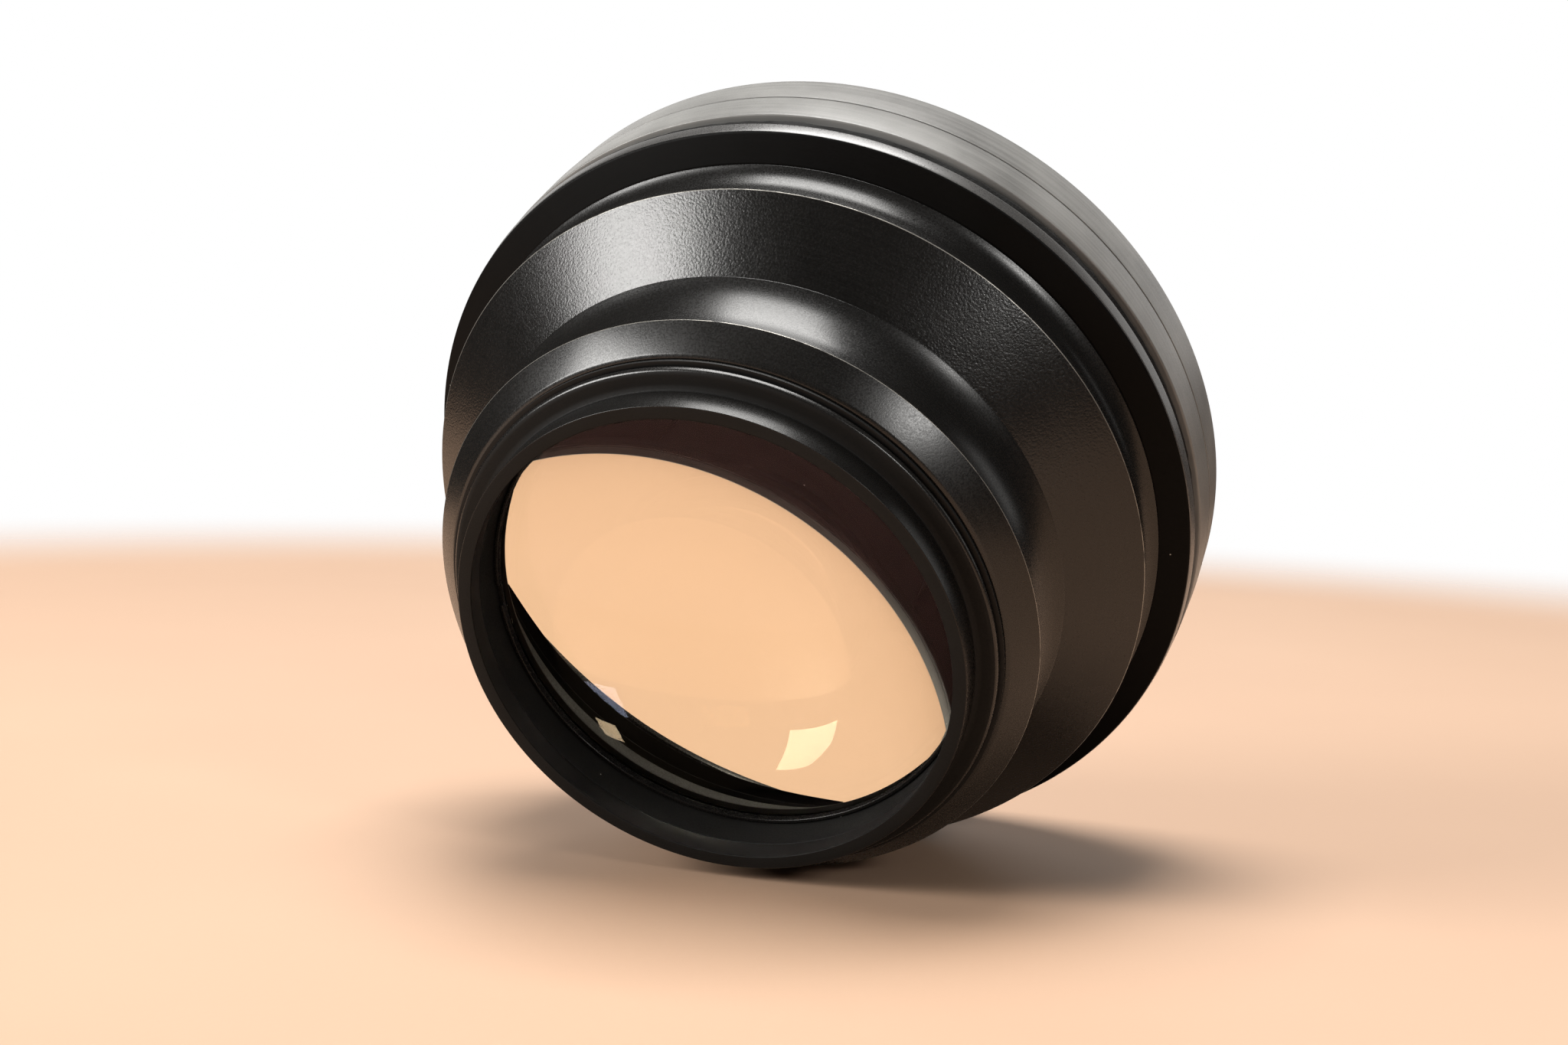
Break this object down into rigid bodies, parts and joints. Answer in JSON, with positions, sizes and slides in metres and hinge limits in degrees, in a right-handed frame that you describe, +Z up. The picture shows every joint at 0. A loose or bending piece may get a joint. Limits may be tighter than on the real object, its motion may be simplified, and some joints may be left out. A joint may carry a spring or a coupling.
{
  "type": "camera conversion lens",
  "caption": "Screw-on wide-angle conversion lens: a small turning rear mount, a stepped black barrel with a broad cone, and a wide front barrel, with glass at both ends.",
  "frame": {"origin": "on the surface that the lens lies on, under the middle of its box", "axes": "+Z up from that surface; the optical axis lies in the YZ plane and climbs 24.5 degrees towards +Y, from the small rear mount at -Y to the big front rim at +Y; +X across"},
  "size_m": [0.1058, 0.087, 0.1033],
  "materials": {
    "satin_black": "satin black anodised",
    "blasted_black": "bead blasted, black anodised",
    "grey_sleeve": "matte dark grey anodised, fine turning marks",
    "gloss_flange": "semi-gloss black anodised",
    "bore_black": "matte black anti-reflection paint",
    "washer_black": "matte black nylon",
    "spring_steel": "blued spring steel",
    "black_rubber": "matte",
    "optical_glass": "polished, coated"
  },
  "bodies": {
    "barrel": {"thrust_washer": "washer_black", "rear_collar": "satin_black", "main_barrel": "blasted_black", "flange_ring": "gloss_flange", "seal_ring": "black_rubber", "front_sleeve": "grey_sleeve", "front_rim_ring": "grey_sleeve", "rear_cell": "bore_black", "rear_retaining_ring": "bore_black", "rear_lens": "optical_glass", "rear_baffle": "bore_black", "middle_baffle": "bore_black", "front_baffle": "bore_black", "front_cell": "bore_black", "front_seal": "black_rubber", "front_lens": "optical_glass", "front_retaining_ring": "bore_black", "front_trim_ring": "satin_black"},
    "mount": {"mount_ring": "satin_black", "snap_ring": "spring_steel"}
  },
  "joints": [
    {"name": "mount_ring_turn", "type": "hinge", "parent": "barrel", "child": "mount", "pos_m": [0, -0.02983, 0.03219], "axis": [0, 0.9102, 0.4141], "continuous": true}
  ]
}
